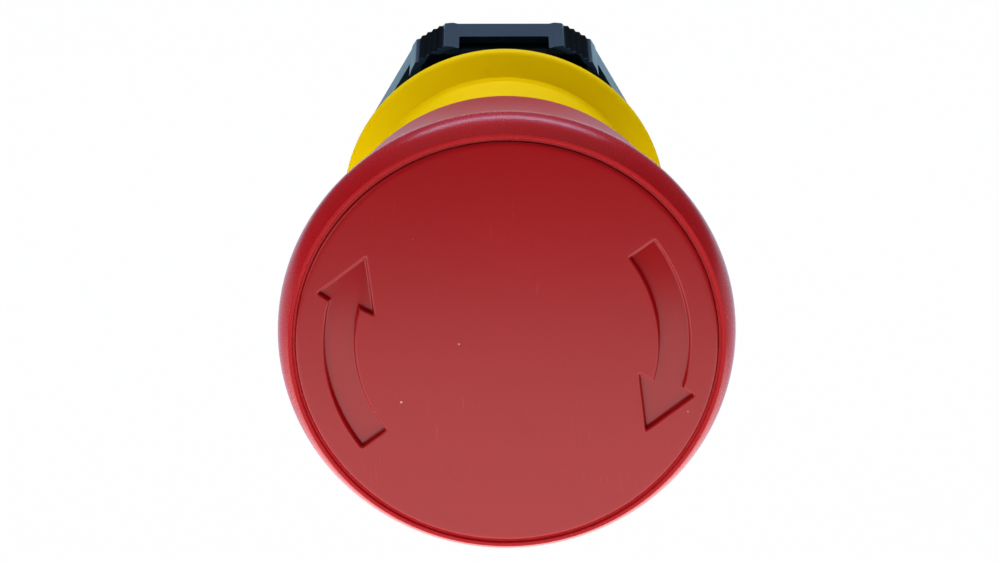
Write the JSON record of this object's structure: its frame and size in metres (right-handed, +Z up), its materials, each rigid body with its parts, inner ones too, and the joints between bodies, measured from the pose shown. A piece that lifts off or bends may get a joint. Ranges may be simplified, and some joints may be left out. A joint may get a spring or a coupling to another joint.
{
  "type": "emergency stop push button",
  "caption": "Red mushroom-head emergency stop button with sunken turn arrows, yellow collar, threaded bushing and castellated panel nut; pressed in, turned to release.",
  "frame": {"origin": "centre of the collar's rear seat, on the operator's axis at the panel's front face", "axes": "-Y out of the panel towards the face of the mushroom head, +Y back through the panel along the bushing, +Z up with a flat of the nut on top, +X to the right seen from the front"},
  "size_m": [0.04, 0.0638, 0.04],
  "materials": {
    "red_shell": "satin moulded plastic",
    "red_face": "fine matt grain",
    "yellow_collar": "satin moulded plastic",
    "black_plastic": "moulded glass-filled plastic",
    "nut_plastic": "moulded glass-filled plastic",
    "spring_steel": "bright drawn wire",
    "zinc_plate": "zinc plated",
    "seal_rubber": "soft matt rubber",
    "white_acetal": "machined-look acetal"
  },
  "bodies": {
    "operator_base": {"bushing": "black_plastic", "collar": "yellow_collar", "collar_o_ring": "seal_rubber", "panel_gasket": "seal_rubber", "stem_seal": "seal_rubber", "seal_retainer": "zinc_plate", "return_spring": "spring_steel", "pin_spring_right": "spring_steel", "pin_spring_left": "spring_steel"},
    "press_stem": {"plunger": "black_plastic", "trip_cam": "white_acetal", "contact_pusher": "white_acetal", "spring_carrier": "white_acetal", "release_spring": "spring_steel", "head_clip": "zinc_plate"},
    "head": {"mushroom_shell": "red_shell", "face_disc": "red_face", "hub_washer": "zinc_plate"},
    "right_pin": {"latch_pin_right": "spring_steel"},
    "left_pin": {"latch_pin_left": "spring_steel"},
    "washer": {"lock_washer": "black_plastic"},
    "nut": {"hex_nut": "nut_plastic"}
  },
  "joints": [
    {"name": "press", "type": "slide", "parent": "operator_base", "child": "press_stem", "axis": [0, 1, 0], "range_m": [0, 0.006], "stiffness_N_per_m": 600, "springref_m": -0.01, "deforming": ["return_spring"]},
    {"name": "twist_release", "type": "hinge", "parent": "press_stem", "child": "head", "pos_m": [0, 0, 0], "axis": [0, 1, 0], "range_deg": [0, 45], "stiffness_Nm_per_rad": 0.04, "springref_deg": -22.92},
    {"name": "right_pin_slide", "type": "slide", "parent": "operator_base", "child": "right_pin", "axis": [1, 0, 0], "range_m": [0, 0.0009], "deforming": ["pin_spring_right"]},
    {"name": "left_pin_slide", "type": "slide", "parent": "operator_base", "child": "left_pin", "axis": [-1, 0, 0], "range_m": [0, 0.0009], "deforming": ["pin_spring_left"]},
    {"name": "washer_slide", "type": "slide", "parent": "operator_base", "child": "washer", "axis": [0, 1, 0], "range_m": [-0.00525, 0.0015]},
    {"name": "nut_turn", "type": "hinge", "parent": "washer", "child": "nut", "pos_m": [0, 0, 0], "axis": [0, 1, 0], "range_deg": [-1260, 360]}
  ],
  "couplings": [
    {"joint": "right_pin_slide", "follows": "press", "ratio": 0.15},
    {"joint": "left_pin_slide", "follows": "press", "ratio": 0.15},
    {"joint": "nut_turn", "follows": "washer_slide", "rad_per_m": 4188.8}
  ]
}
